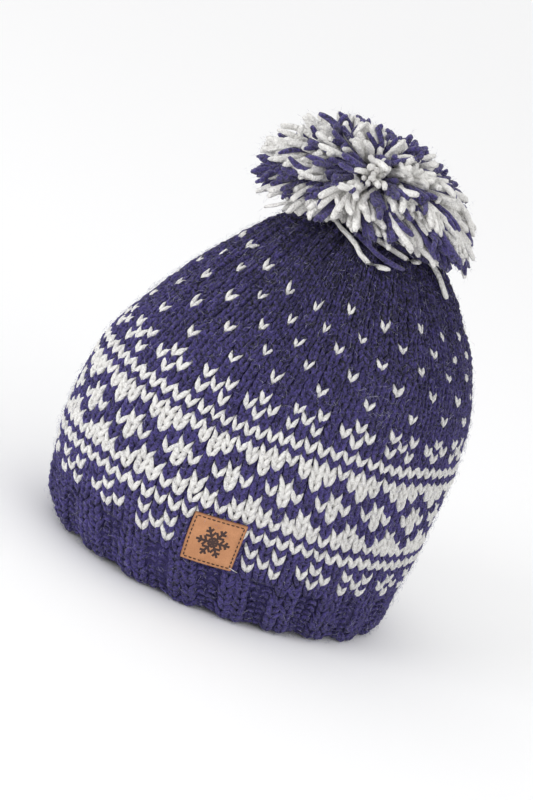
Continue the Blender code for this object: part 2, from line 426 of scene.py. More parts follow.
# %% Pulls, and where a row lies
# Each pull is two tables: rows and how much, then columns and what share of it.
TWISTS = [
    (([7, 18, 28, 36, 46, 56], [0.0, 1.1, 1.1, 1.5, 1.0, 0.0]),
     ([-40, -8, -1, 2, 30, 40], [0.5, 1.0, 0.05, 0.0, 0.0, 0.5])),
    (([14, 20, 29, 36, 46, 56], [0.0, 0.3, 1.3, 1.2, 0.8, 0.0]),
     ([-40, -30, 2, 8, 40], [0.5, 0.0, 0.0, 1.0, 0.5])),
]
SAGS = [
    (([25, 32, 40, 52], [0.0, 1.0, 1.0, 0.0]),
     ([-30, -19, -14, -8, -5, -1, 3, 8, 14, 24],
      [0.0, -0.7, -0.8, 1.0, 1.7, 0.0, 0.6, -0.8, 0.0, 0.0])),
    (([0, 6, 14, 20], [0.0, 0.35, 0.35, 0.0]), ([-32, -26, -15, -9], [0.0, 1.0, 1.0, 0.0])),
    (([8, 16, 29, 34], [0.0, -0.7, -0.7, 0.0]), ([-3, 1, 12, 22], [0.0, 1.0, 1.0, 0.0])),
]


def pulled(column, row):
    """Stitches sideways and rows down by which the lie of the hat pulls the knitting."""
    column = (column + STITCHES / 2) % STITCHES - STITCHES / 2
    return [
        sum(np.interp(row, *amount) * np.interp(column, *share) for amount, share in pulls)
        for pulls in (TWISTS, SAGS)
    ]


def place_of_row(row):
    """Where up the table of sections a row of knitting lies."""
    known_rows = [FIRST_ROW, -1, PATTERN_ROWS - 1, APEX_ROW]
    climb = np.interp(row, known_rows, [0.0, seam_climb, pattern_climb, fine_climb[-1]])
    return np.interp(climb, fine_climb, fine_places)


def place_at_height(height):
    return np.interp(height, fine_height, fine_places)


print("the pattern ends", round(float(body_value(place_of_row(PATTERN_ROWS - 1), "height")) / MM), "mm up")

# %% [markdown]
# Two knit and two purl stitches make each rib of the brim. The purl ones sink back
# and the knit ones crowd together over them. Higher up the wool is gathered, which
# folds it. Both are a depth below the skin that depends on the column.

# %% Ribs and folds
RIB_STITCHES = 4
RIB_CREST_COLUMN = -1.5
RIB_RELIEF = 1.6 * MM
RIB_CROWDING = 0.28  # how far the knit columns spread over the purl ones
RIM_SCALLOP = 1.5 * MM
RIM_REACH = 7 * MM  # the scallop fades out this far above the rim
RIM_LIFT = 0.1 * MM  # of the lowest yarn over the floor
FOLD_STITCHES = 4
FOLD_CREST_COLUMN = 0.5


def crest(column, crest_column, period):
    """1 on the crest of a rib or fold and 0 in the valley beside it."""
    return np.clip(0.5 + 0.75 * np.cos(tau * (column - crest_column) / period), 0.0, 1.0)


def rib_share(place):
    """How strongly the brim is ribbed: fully at the rim, not at all above the seam."""
    return np.interp(place, [0.0, 0.35, 1.0, 1.6, 2.0, 2.5], [0.8, 1.0, 1.0, 0.8, 0.4, 0.0])


def knit_point(column, row, out):
    """A point of the knitting: column and row of the stitch, and metres out of the skin."""
    aside, down = pulled(column, row)
    column = column + aside
    place = place_of_row(row - down)
    ribbed = rib_share(place)
    phase = tau * (column - RIB_CREST_COLUMN) / RIB_STITCHES
    crowded = column + ribbed * RIB_CROWDING * np.sin(phase) * RIB_STITCHES / tau
    stitch = crowded + body_value(place, "column_at")
    rib_depth = RIB_RELIEF * ribbed * (1 - crest(column, RIB_CREST_COLUMN, RIB_STITCHES))
    fold = body_value(place, "gather") * (1 - crest(column, FOLD_CREST_COLUMN, FOLD_STITCHES))
    point = skin_point(place, stitch) + (out - rib_depth - fold)[..., None] * skin_normal(place, stitch)
    low = np.clip(1 - point[..., 2] / RIM_REACH, 0.0, 1.0)
    raised = RIM_SCALLOP * (1 - crest(column, RIB_CREST_COLUMN, RIB_STITCHES))
    point[..., 2] = np.maximum(point[..., 2] + low * raised, RIM_LIFT)
    return point


print("the brim has", STITCHES // RIB_STITCHES, "ribs")

# %% [markdown]
# Every stitch, purl bump and pompom strand is a short length of yarn. We model a
# straight bar from a cylinder with few sides, whose long edges are cut in edit mode.
# It is then bent, in code, thousands of times. The cylinder brings a UV map with
# it, which the wool's twist needs.

# %% A cylinder cut across, and its corners
def cut_cylinder(sides, cuts, ends):
    """A cylinder, one metre high and of one metre's radius, whose long edges are cut."""
    bpy.ops.object.select_all(action="DESELECT")
    bpy.ops.mesh.primitive_cylinder_add(vertices=sides, radius=1.0, depth=1.0, end_fill_type=ends)
    cylinder = bpy.context.object
    bpy.ops.object.mode_set(mode="EDIT")
    bpy.ops.mesh.select_mode(type="EDGE")
    bpy.ops.mesh.select_all(action="DESELECT")
    cage = bmesh.from_edit_mesh(cylinder.data)
    for edge in cage.edges:
        edge.select_set(abs(edge.verts[0].co.z - edge.verts[1].co.z) > 0.5)
    bmesh.update_edit_mesh(cylinder.data)
    bpy.ops.mesh.subdivide(number_cuts=cuts)
    bpy.ops.object.mode_set(mode="OBJECT")
    return cylinder


def corners_of(mesh):
    return np.array([corner.co for corner in mesh.vertices])


# %% A straight bar of yarn
Bar = namedtuple("Bar", "along around corners_of_faces uvs")


def modelled_bar(sides, cuts):
    """A bar cut into cuts + 1 lengths: each corner's share along it and angle round it."""
    bar = cut_cylinder(sides, cuts, "NGON")
    mesh = bar.data
    corners = corners_of(mesh)
    faces = [tuple(face.vertices) for face in mesh.polygons]
    uvs = np.array([loop.uv for loop in mesh.uv_layers.active.data])
    bpy.data.objects.remove(bar)
    bpy.data.meshes.remove(mesh)
    return Bar(corners[:, 2] + 0.5, np.arctan2(corners[:, 1], corners[:, 0]), faces, uvs)


STITCH_CUTS = 3
stitch_bar = modelled_bar(6, STITCH_CUTS)
print("one arm of a stitch has", len(stitch_bar.along), "corners")


# %% Join many bent copies
def paint(mesh, name, values):
    """Give each corner of a mesh a number that its material reads."""
    attribute = mesh.attributes.new(name, "FLOAT", "POINT")
    attribute.data.foreach_set("value", np.asarray(values).astype(np.float32))


def joined(name, bar, points, tones, material):
    """One object out of many bent bars; points is copies x corners x 3."""
    copies, corners = points.shape[:2]
    loops = np.concatenate([np.array(face) for face in bar.corners_of_faces])
    sizes = np.array([len(face) for face in bar.corners_of_faces])
    starts = np.concatenate(([0], sizes.cumsum()[:-1]))
    number = np.arange(copies)[:, None]
    mesh = bpy.data.meshes.new(name)
    mesh.vertices.add(copies * corners)
    mesh.vertices.foreach_set("co", points.astype(np.float32).ravel())
    mesh.loops.add(copies * len(loops))
    mesh.loops.foreach_set("vertex_index", (number * corners + loops).astype(np.int32).ravel())
    mesh.polygons.add(copies * len(sizes))
    mesh.polygons.foreach_set("loop_start", (number * len(loops) + starts).astype(np.int32).ravel())
    mesh.update(calc_edges=True)
    yarn_map = mesh.uv_layers.new(name="yarn")
    yarn_map.data.foreach_set("uv", np.tile(bar.uvs.astype(np.float32).ravel(), copies))
    paint(mesh, "tone", np.repeat(tones, corners))
    mesh.shade_smooth()
    mesh.materials.append(material)
    piece = bpy.data.objects.new(name, mesh)
    bpy.context.scene.collection.objects.link(piece)
    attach(piece, "root")
    triangles = copies * int((sizes - 2).sum())
    print(name, "has", copies, "lengths of yarn and", triangles, "triangles")
    return piece


# %% [markdown]
# A knit stitch shows as a V. Each arm comes out of the stitch below, swells over
# it, leans outward and dives under its neighbours in the next row. The table gives
# one arm; the other is the same with its side turned over. A purl stitch shows the
# back of such a loop instead: a short bump that lies level.

# %% The shape of a stitch
Bend = namedtuple("Bend", "side up out width depth")  # stitches, rows, then metres
KNIT_ARM = [
    Bend(0.030, -0.12, -2.20 * MM, 0.70 * MM, 0.75 * MM),
    Bend(0.115, 0.28, -1.30 * MM, 1.30 * MM, 1.15 * MM),
    Bend(0.230, 0.78, -1.00 * MM, 1.50 * MM, 1.30 * MM),
    Bend(0.355, 1.30, -1.10 * MM, 1.18 * MM, 1.10 * MM),
    Bend(0.480, 1.84, -2.10 * MM, 0.32 * MM, 0.45 * MM),
]
PURL_BUMP = [
    Bend(-0.42, -0.15, -2.50 * MM, 0.80 * MM, 0.80 * MM),
    Bend(-0.24, 0.30, -1.60 * MM, 1.25 * MM, 1.20 * MM),
    Bend(0.00, 0.50, -1.20 * MM, 1.40 * MM, 1.30 * MM),
    Bend(0.24, 0.30, -1.60 * MM, 1.25 * MM, 1.20 * MM),
    Bend(0.42, -0.15, -2.50 * MM, 0.80 * MM, 0.80 * MM),
]


def turned_over(bends):
    return [bend._replace(side=-bend.side) for bend in bends]


def bent(bar, bends):
    """The bar's corners in stitches, rows and metres, after it follows the bends."""
    step = np.rint(bar.along * (len(bends) - 1)).astype(int)
    table = np.array(bends)
    side, up, out, width, depth = table[step].T
    run = np.gradient(table[:, 0])[step] * STITCH_WIDTH
    climb = np.gradient(table[:, 1])[step] * ROW_PITCH
    length = np.hypot(run, climb)
    across = width * np.cos(bar.around)
    return np.stack([
        side - across * climb / length / STITCH_WIDTH,
        up + across * run / length / ROW_PITCH,
        out + depth * np.sin(bar.around),
    ], axis=-1)


print("an arm climbs", round(KNIT_ARM[-1].up - KNIT_ARM[0].up, 2), "rows")

# %% [markdown]
# The pattern is a chart, as knitters write it: one letter for each stitch, `x` for
# cream, and a repeat of eight stitches. It is a common Nordic border of zigzags and
# lozenges. Above it come the flecks, on every third row and shifted by two stitches
# each time.

# %% The chart
CHART = [  # from the brim up
    ".x..x..x",
    "x..x.x..",
    ".x..x..x",
    "........",
    "xxxxxxxx",
    "........",
    "xxxxxxxx",
    ".xxx.xxx",
    "..x...x.",
    "x...x...",
    "xx.xxx.x",
    "x...x...",
    "..x...x.",
    ".xxx.xxx",
    "xxxxxxxx",
    "........",
    "xxxxxxxx",
    "........",
    ".x..x..x",
    "x..x.x..",
    ".x..x..x",
]
FLECK_ROWS = 3
FLECK_STITCHES = 4
FLECKS = 5


def is_cream(row, column):
    if 0 <= row < len(CHART):
        return CHART[row][column % len(CHART[row])] == "x"
    fleck, off_beat = divmod(row - (len(CHART) - 1), FLECK_ROWS)
    if off_beat or not 1 <= fleck <= FLECKS:
        return False
    shift = 0 if fleck % 2 else FLECK_STITCHES // 2
    return column % FLECK_STITCHES == shift


print("one repeat of the chart has", sum(row.count("x") for row in CHART), "cream stitches")

# %% [markdown]
# Now the knitting itself. Hands never pull every loop alike, so each stitch is
# moved, swollen and lifted by a few hundredths, and slow waves make the rows and
# columns wander. A fleck is slimmer than the other stitches, because the navy ones
# round it squeeze it. The seeds are fixed: the hat comes out the same each time.

# %% Slow waves in the knitting
Wave = namedtuple("Wave", "size times_round by_row start")
SIDEWAYS_WAVES = [Wave(0.07, 3, 0.31, 0.0), Wave(0.05, 7, -0.47, 0.0)]
UPWARD_WAVES = [Wave(0.10, 5, 0.0, 1.0), Wave(0.07, 11, 0.2, 0.0)]
OUTWARD_WAVES = [Wave(0.30 * MM, 9, 0.6, 0.0), Wave(0.25 * MM, 4, -0.35, 0.0)]
PUCKERS = [Wave(0.75 * MM, 17, 0.0, 0.0), Wave(0.75 * MM, 11, 0.0, 2.0)]
PUCKERED_ROWS = [32, 44]  # the puckers grow over these rows


def summed(waves, columns, rows):
    turn = tau * columns / STITCHES
    return sum(
        wave.size * np.sin(wave.times_round * turn + wave.by_row * rows + wave.start)
        for wave in waves)


def wander(columns, rows):
    """Slow waves in the knitting: sideways in stitches, upward in rows, outward in metres."""
    puckered = np.interp(rows, PUCKERED_ROWS, [0.0, 1.0]) * summed(PUCKERS, columns, rows)
    outward = summed(OUTWARD_WAVES, columns, rows) + puckered
    return summed(SIDEWAYS_WAVES, columns, rows), summed(UPWARD_WAVES, columns, rows), outward


# %% Lay a bent bar at every stitch
ROUGHNESS = 0.13 * MM  # the outline of woollen yarn is never clean

# How unlike each other the stitches are: in stitches, in rows, in metres, then as shares.
SIDE_ERROR = 0.022
UP_ERROR = 0.045
OUT_ERROR = 0.13 * MM
SWELL_ERROR = 0.045
LEAN_ERROR = 0.02


def knit(name, stitches, shapes, material, seed, proud=0.0, uneven=1.0):
    """Lay one bent bar of each shape at every stitch; uneven stands for the knitter's hand."""
    random = np.random.default_rng(seed)
    count = len(stitches)
    columns = np.array([stitch.column for stitch in stitches], float)
    rows = np.array([stitch.row for stitch in stitches], float)
    sideways, upward, outward = wander(columns, rows)
    own_side = sideways + random.normal(0, SIDE_ERROR * uneven, count)
    own_up = upward + random.normal(0, UP_ERROR * uneven, count)
    own_out = outward + random.normal(0, OUT_ERROR * uneven, count) + proud
    tones = random.uniform(0, 1, count)
    laid = []
    for shape in shapes:
        corners = bent(stitch_bar, shape)
        swell = random.normal(1.0, SWELL_ERROR, (count, 1))
        lean = random.normal(0, LEAN_ERROR * uneven, (count, 1))
        column = columns[:, None] + own_side[:, None] + corners[:, 0] * swell + lean * corners[:, 1]
        row = rows[:, None] + own_up[:, None] + corners[:, 1] * swell
        out = own_out[:, None] + corners[:, 2]
        laid.append(knit_point(column, row, out))
    points = np.concatenate(laid)
    points = points + random.normal(0, ROUGHNESS * uneven, points.shape)
    points[..., 2] = np.maximum(points[..., 2], 0.0)
    return joined(name, stitch_bar, points, np.tile(tones, len(shapes)), material)


# %% Knit the crown
COVERED_PLACE = 10.2  # above this the pompom hides the knitting
UPPER_FROM = 26  # the navy stitches are two pieces, split at this row
Stitch = namedtuple("Stitch", "row column")
KNIT_STITCH = [KNIT_ARM, turned_over(KNIT_ARM)]
SLIM_WIDTH = 0.93
SLIM_HEIGHT = 0.97
SLIM_ARM = [
    bend._replace(width=bend.width * SLIM_WIDTH, up=bend.up * SLIM_HEIGHT) for bend in KNIT_ARM]
FLECK_STITCH = [SLIM_ARM, turned_over(SLIM_ARM)]
crown_rows = np.arange(0, APEX_ROW)
top_row = int(np.interp(COVERED_PLACE, place_of_row(crown_rows), crown_rows))
crown_grid = [Stitch(row, column) for row in range(-1, top_row + 1) for column in range(STITCHES)]
cream_stitches = [stitch for stitch in crown_grid if is_cream(*stitch)]
pattern_stitches = [stitch for stitch in cream_stitches if stitch.row < len(CHART)]
fleck_stitches = [stitch for stitch in cream_stitches if stitch.row >= len(CHART)]
navy_stitches = [stitch for stitch in crown_grid if not is_cream(*stitch)]
lower_navy = [stitch for stitch in navy_stitches if stitch.row < UPPER_FROM]
upper_navy = [stitch for stitch in navy_stitches if stitch.row >= UPPER_FROM]

PATTERN_PROUD = 0.15 * MM  # cream stitches stand a little out of the navy ones

knit("pattern_stitches", pattern_stitches, KNIT_STITCH, cream_wool, 1, PATTERN_PROUD)
knit("fleck_stitches", fleck_stitches, FLECK_STITCH, cream_wool, 7)
lower_piece = knit("crown_lower_stitches", lower_navy, KNIT_STITCH, navy_wool, 2)
knit("crown_upper_stitches", upper_navy, KNIT_STITCH, navy_wool, 3, uneven=1.6)
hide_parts("crown")

# %% [markdown]
# The brim is worked two knit, two purl. Its rim is the cast-on edge: one slanting
# loop for each stitch, thick enough to close the bottom of the wall.

# %% Knit the brim
EDGE_LOOP = [
    Bend(-0.62, 0.62, -2.9 * MM, 0.9 * MM, 1.3 * MM),
    Bend(-0.34, 0.44, -2.4 * MM, 1.5 * MM, 1.9 * MM),
    Bend(0.00, 0.42, -2.3 * MM, 1.6 * MM, 2.1 * MM),
    Bend(0.34, 0.44, -2.4 * MM, 1.5 * MM, 1.9 * MM),
    Bend(0.62, 0.28, -2.9 * MM, 0.9 * MM, 1.3 * MM),
]
KNIT_COLUMNS = (2, 3)  # of every four; the other two are purl

brim_grid = [Stitch(row, column) for row in range(FIRST_ROW, -1) for column in range(STITCHES)]
brim_knit = [stitch for stitch in brim_grid if stitch.column % RIB_STITCHES in KNIT_COLUMNS]
brim_purl = [stitch for stitch in brim_grid if stitch.column % RIB_STITCHES not in KNIT_COLUMNS]
rim = [Stitch(FIRST_ROW, column) for column in range(STITCHES)]
rib_piece = knit(
    "brim_knit_stitches", brim_knit, KNIT_STITCH, navy_wool, 4, uneven=1.7)
knit("brim_purl_bumps", brim_purl, [PURL_BUMP], navy_wool, 5, uneven=2.0)
knit("brim_edge_loops", rim, [EDGE_LOOP], navy_wool, 6, uneven=1.5)
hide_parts("ribbed_brim")

# %% [markdown]
# Behind the arms of the stitches, the loops pass from row to row and close the
# cloth. From outside they are only dark gaps. From below, through the rim, they are
# what one sees: level bumps, with strands of the resting colour floating over them
# in the patterned rows. So the wall behind the stitches is one closed skin. It is
# made from an open cylinder, cut in edit mode, given its thickness by a Solidify
# modifier, and then laid along the hat.

# %% Wool seen from the inside
def inside_wool():
    finish = Finish("inside_wool", Roughness=0.95, Sheen_Weight=0.2, Specular_IOR_Level=0.2)
    place = finish.coordinates()
    hairs = finish.noise(place, 1300.0, 3.0)
    # On the wall the tone is painted shade, and the hairs darken the colour where their bump lies low:
    # painted shade as well.
    light = hairs * 0.6 + finish.attribute("tone") * 0.4
    navy = finish.mix(light, NAVY_DEEP, NAVY_LIT)
    cream = finish.mix(light, CREAM_DEEP, CREAM_LIT)
    finish.colour(finish.mix(finish.attribute("float"), navy, cream))
    finish.raise_surface(hairs, 0.4 * MM)
    return finish.material


def cream_row(row):
    """Whether cream yarn is carried along the inside of this row."""
    return any(is_cream(row, column) for column in range(2 * FLECK_STITCHES))


inside_finish = inside_wool()
print("rows with cream inside:", sum(cream_row(row) for row in range(top_row)))

# %% The wall behind the stitches
WALL_OUTSIDE = -2.2 * MM
WALL_INSIDE = -5.0 * MM
WALL_COLUMNS = 160
INSIDE_BUMP = 0.9 * MM


def move_corners(mesh, places):
    for corner, point in zip(mesh.vertices, places):
        corner.co = point


def knitted_wall(name, first_row, last_row, material):
    """The closed skin behind the stitches between two rows."""
    wall = cut_cylinder(WALL_COLUMNS, 2 * round(last_row - first_row) - 1, "NOTHING")
    wall.name = name
    wall.data.name = name
    thick = wall.modifiers.new("wall", "SOLIDIFY")
    thick.thickness = 0.5
    thick.offset = -1.0
    bpy.ops.object.modifier_apply(modifier=thick.name)
    corners = corners_of(wall.data)
    inside = np.hypot(corners[:, 0], corners[:, 1]) < 0.75
    column = np.arctan2(corners[:, 1], corners[:, 0]) / tau * STITCHES
    row = first_row + (corners[:, 2] + 0.5) * (last_row - first_row)
    # Each bump is level and sits half a stitch off the bumps of the row below.
    beat = np.cos(tau * (column + 0.5 * (np.floor(row) % 2))) * np.cos(tau * (row - 0.25))
    bump = INSIDE_BUMP * np.maximum(beat, 0.0)
    out = np.where(inside, WALL_INSIDE - bump, WALL_OUTSIDE)
    move_corners(wall.data, knit_point(column, row, out))
    carried = np.array([cream_row(int(level)) for level in np.floor(row)])
    paint(wall.data, "float", inside & carried & (beat > 0.2))
    # Painted shade: the tone is paler on the crests of the inside bumps, darker between them, and lowest
    # on the outer face, which shows only as dark gaps between the stitches.
    paint(wall.data, "tone", np.where(inside, 0.5 + 0.5 * beat, 0.0))
    wall.data.materials.append(material)
    wall.data.shade_smooth()
    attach(wall, "root")
    print(name, "has", len(wall.data.polygons) * 2, "triangles")


knitted_wall("brim_inner_wall", FIRST_ROW, -1, inside_finish)
knitted_wall("crown_inner_wall", -1, APEX_ROW, inside_finish)

# %% [markdown]
# The pompom is a thick bundle of strands, tied at their middles and cut to one
# length. They spring out from the tie in all directions, bend under their own
# weight and lie on the crown below. Each strand here is one bent bar. Its path is
# first laid out in a round ball, and then settled on the crown as the solid model's
# locks were. On the right the ends sink further, towards the crown.

# %% The pompom's ball and its seat
POMPOM_RADIUS = 59.7 * MM
POMPOM_RISE = 45.5 * MM
POMPOM_FULLNESS = 1.3
POMPOM_DROOP = 0.5
POMPOM_MIDDLE_Y = APEX.middle_y + 1.8 * MM
POMPOM_SEAT_GAP = 0.6 * MM
SHOULDER_HEIGHT = 0.100


def dome_height(x, y):
    """Height of the crown's skin above or below points, looking straight down."""
    low = np.full(np.shape(x), float(place_at_height(SHOULDER_HEIGHT)))
    high = np.full(np.shape(x), LAST_PLACE)
    for _ in range(24):
        middle = (low + high) / 2
        across = x / body_value(middle, "half_width")
        along = (y - body_value(middle, "middle_y")) / body_value(middle, "half_length")
        inside = np.hypot(across, along) < 1
        low = np.where(inside, middle, low)
        high = np.where(inside, high, middle)
    return body_value(low, "height")


print("the pompom sits", round(float(dome_height(0.0, POMPOM_MIDDLE_Y)) / MM), "mm up")

# %% Settle it on the crown
STRAND_THICKNESS = 1.6 * MM  # half of the yarn's width, fluffed out where it is cut
TO_RIGHT = np.array([0.5, 0.866, 0.0])  # the side where the strands hang longest
HANG = 0.30  # the share of their height that they lose there
MOST_HANG = 0.8


def settled(points):
    """Where points of the round ball lie when the ball sits on the crown."""
    x = points[..., 0]
    y = points[..., 1] + POMPOM_MIDDLE_Y
    share = np.maximum(points[..., 2] + POMPOM_RADIUS, 0.0) / (2 * POMPOM_RADIUS)
    seat = dome_height(x, y) + POMPOM_SEAT_GAP
    drop = APEX.height + POMPOM_SEAT_GAP - seat
    lifted = drop * share ** POMPOM_DROOP + POMPOM_RISE * share ** POMPOM_FULLNESS
    return np.stack([x, y, seat + lifted], axis=-1)


def hung(points):
    """Strands sink towards the crown at their ends on the right."""
    x = points[..., 0]
    y = points[..., 1] - POMPOM_MIDDLE_Y
    span = np.hypot(x, y) / POMPOM_RADIUS
    rightward = np.maximum(x * TO_RIGHT[0] + y * TO_RIGHT[1], 0.0) / POMPOM_RADIUS
    share = np.clip(HANG * span ** 2 * rightward, 0.0, MOST_HANG)
    seat = dome_height(x, y + POMPOM_MIDDLE_Y) + POMPOM_SEAT_GAP
    gap = points[..., 2] - seat
    height = seat + gap * (1 - share) + STRAND_THICKNESS * share
    return np.stack([x, y + POMPOM_MIDDLE_Y, height], axis=-1)


ball_top = settled(np.array([0.0, 0.0, POMPOM_RADIUS]))
print("the ball's top settles at", round(float(ball_top[2]) / MM), "mm")

# %% [markdown]
# Strands of one colour were wound together, so the colours come in tufts. Those in
# front are read off the picture and written down as places on the pompom's face.
# The strands themselves leave the tie evenly, and then four things move them:
# they part at a point that faces forward, the low ones in front are swept to the
# right, they lean with their tuft, and each curls by itself.

# %% The tufts in front
# Millimetres to the right of FACE_MIDDLE and up from it, as the camera sees them.
FACE_MIDDLE = np.array(LOOK_AT) + 49.3 * MM * picture_right + 106.4 * MM * picture_up
NAVY_TUFTS = [
    (-45, 12), (-39, 9), (-32, 5), (-22, 22), (-13, 29), (-9, 24), (-12, 13), (-5, 10),
    (-17, 8), (-13, 0), (4, 30), (8, 22), (13, 12), (17, 24), (24, 19), (27, 12), (37, 9),
    (-22, -2), (-20, -14), (13, -2), (3, -4), (26, -7), (19, -15), (9, -18), (-2, -22),
    (4, -33), (14, -40), (40, -1), (39, -16), (37, -27), (45, -30), (42, -40), (27, -42),
    (-33, 28), (30, -24), (-5, -32),
]
CREAM_TUFTS = [
    (-43, 22), (-35, 17), (-28, 27), (-28, 14), (-17, 24), (-20, 15), (-7, 30), (-2, 18),
    (1, 26), (6, 14), (16, 15), (12, 27), (31, 15), (21, 6), (31, 5), (4, 4), (-4, 2), (-7, -6),
    (-26, 6), (-48, 4), (-33, -6), (-45, -5), (-39, -11), (-27, -12), (-13, -7), (20, -3),
    (16, -10), (1, -12), (27, -14), (34, -11), (-10, -20), (0, -27), (11, -32), (21, -37),
    (9, -24), (21, -25), (27, -32), (42, -9), (42, -22), (34, -37), (37, -46), (35, 1),
    (-54, 5), (-55, -7),
]
print("tufts in front:", len(NAVY_TUFTS), "navy and", len(CREAM_TUFTS), "cream")

# %% Directions out of the tie
STRANDS = 1450
TUFTS = 170
random = np.random.default_rng(20)


def even_directions(count):
    """Directions spread evenly over a sphere, along a spiral."""
    number = np.arange(count) + 0.5
    up = 1 - 2 * number / count
    turn = number * pi * (3 - 5 ** 0.5)
    flat = np.sqrt(1 - up ** 2)
    return np.stack([flat * np.cos(turn), flat * np.sin(turn), up], axis=-1)


outward = unit(even_directions(STRANDS) + random.normal(0, 0.09, (STRANDS, 3)))
tuft_at = unit(random.normal(0, 1, (TUFTS, 3)))
tuft = (outward @ tuft_at.T).argmax(axis=1)
print(STRANDS, "strands in", len(np.unique(tuft)), "tufts")

# %% Comb them away from the parting
PARTING = unit(np.array([0.70, -0.44, 0.56]))  # it faces forward and up
PARTING_SPREAD = 0.30
MIDDLE_FROM = 0.72  # strands nearer to the parting than this are shorter and curlier
COMBED = (0.3, 1.1)
MIDDLE_UNCOMBED = 0.6
SWEPT_ASIDE = 4.0  # strands low in front are swept to the right

own_parting = unit(PARTING + random.normal(0, PARTING_SPREAD, (STRANDS, 3)))
near = (outward * own_parting).sum(1, keepdims=True)
middle = np.clip((outward @ PARTING - MIDDLE_FROM) / (1 - MIDDLE_FROM), 0.0, 1.0)
comb = (outward - own_parting * near) * random.uniform(*COMBED, (STRANDS, 1))
comb *= 1 - MIDDLE_UNCOMBED * middle[:, None]
low_in_front = np.clip(0.1 - 1.2 * (outward @ picture_up), 0.0, 1.0)
low_in_front *= np.clip(0.2 + outward @ np.array(to_camera), 0.0, 1.0)
low_in_front *= np.clip(0.8 + outward @ picture_right, 0.0, 1.0)
comb += SWEPT_ASIDE * low_in_front[:, None] * TO_RIGHT
print((low_in_front > 0).sum(), "strands are swept aside in front")

# %% Let them lean and curl
TUFT_LEAN = 0.30  # strands of one tuft lean the same way
CURL = 0.24  # and each curls a little by itself, most of all in the middle
MIDDLE_CURL = 3.5
SWING = 0.13

tuft_lean = random.normal(0, TUFT_LEAN, (TUFTS, 3))[tuft]
strength = random.normal(0, CURL, (STRANDS, 1)) * (1 + MIDDLE_CURL * middle[:, None])
curl = np.cross(outward, unit(random.normal(0, 1, (STRANDS, 3)))) * strength
swing = np.cross(outward, unit(random.normal(0, 1, (STRANDS, 3))))
swing *= random.normal(0, SWING, (STRANDS, 1))
print("half of them curl by more than", round(float(np.median(np.abs(strength))), 2))

# %% Cut them to length
REACHES = (0.80, 1.03)  # shares of the pompom's radius
MIDDLE_SHORTER = 0.18
LONGER_RIGHT = 0.05
SHORTER_FRONT = 0.13
TO_FRONT = np.array([0.79, -0.46, -0.40])  # low in front, where they are cut shortest
STUNTED_SHARE = 0.15
STUNTED_REACH = 0.86
TO_LEFT = np.array([-0.24, -0.52, -0.82])  # a few thin wisps stick out here
WISPS_WITHIN = 0.985
WISP_REACH = 1.13
WISP_WIDTH = 0.6

reach = random.uniform(*REACHES, STRANDS) * (1 - MIDDLE_SHORTER * middle) * POMPOM_RADIUS
reach *= 1 + LONGER_RIGHT * np.maximum(outward @ TO_RIGHT, 0.0)
reach *= 1 - SHORTER_FRONT * np.maximum(outward @ TO_FRONT, 0.0) ** 2
stunted = random.uniform(0, 1, STRANDS) < STUNTED_SHARE
reach[stunted] *= STUNTED_REACH
wisps = outward @ unit(TO_LEFT) > WISPS_WITHIN
reach[wisps] *= WISP_REACH
print("they are", round(reach.min() / MM), "to", round(reach.max() / MM), "mm long")

# %% Lay out their paths
TIE_SHARE = 0.10  # of its reach, where a strand leaves the tie
BENT_SHARE = 0.5  # how much of comb, lean and curl goes into the path
STEPS = np.array([0.0, 0.14, 0.28, 0.42, 0.56, 0.69, 0.81, 0.91, 0.97, 1.0])

along = STEPS[None, :, None]
from_tie = TIE_SHARE + (1 - TIE_SHARE) * along
bends = (comb + tuft_lean)[:, None, :] * along ** 2 + curl[:, None, :] * along ** 1.5
paths = outward[:, None, :] * from_tie + BENT_SHARE * bends
paths = unit(paths) + swing[:, None, :] * np.sin(along * tau)
paths = unit(paths) * from_tie * reach[:, None, None]
paths = hung(settled(paths))
print("strands reach", round(paths[..., 2].max() / MM, 1), "mm up")

# %% [markdown]
# Now each strand gets its colour. One in front takes that of the tuft nearest to
# the place where it shows. Those behind, which the picture hides, are dealt theirs
# tuft by tuft at random.

# %% Dye the strands
SHOWS_AT = 6  # the step of a path where the strand is seen best
STRAY_COLOUR = 0.04
NAVY_NARROWER = 1.35  # navy tufts are this much narrower than cream ones
CREAM_SHARE = 0.58  # of the tufts behind

seen = paths[:, SHOWS_AT] - FACE_MIDDLE
on_face = np.stack([seen @ picture_right, seen @ picture_up], axis=-1) / MM
spots = np.array(NAVY_TUFTS + CREAM_TUFTS, float)
distance = np.linalg.norm(on_face[:, None] - spots, axis=-1)
distance[:, :len(NAVY_TUFTS)] *= NAVY_NARROWER
nearest = distance.argmin(axis=1)
in_front = outward @ np.array(to_camera) > -0.1
cream_tuft = random.uniform(0, 1, TUFTS) < CREAM_SHARE
cream_strand = np.where(in_front, nearest >= len(NAVY_TUFTS), cream_tuft[tuft])
cream_strand ^= random.uniform(0, 1, STRANDS) < STRAY_COLOUR
print(cream_strand.sum(), "of", STRANDS, "strands are cream")

# %% [markdown]
# A bar is swept along each path. Its round sections stand square to the path, and
# the cut end stays blunt, a little wider than the yarn, as a cut yarn frays.


# %% Sweep the bars
def swept(bar, paths, widths):
    """Corners of one bar along each path; widths is paths x steps."""
    forward = unit(np.gradient(paths, axis=1))
    start = forward[:, :1, :]
    helper = np.where(np.abs(start[..., 2:]) < 0.8, [0.0, 0.0, 1.0], [1.0, 0.0, 0.0])
    side = unit(np.cross(helper, start))
    side = unit(side - forward * (side * forward).sum(-1, keepdims=True))
    over = np.cross(forward, side)
    step = np.rint(bar.along * (paths.shape[1] - 1)).astype(int)
    ring = side[:, step] * np.cos(bar.around)[:, None] + over[:, step] * np.sin(bar.around)[:, None]
    return paths[:, step] + ring * widths[:, step, None]


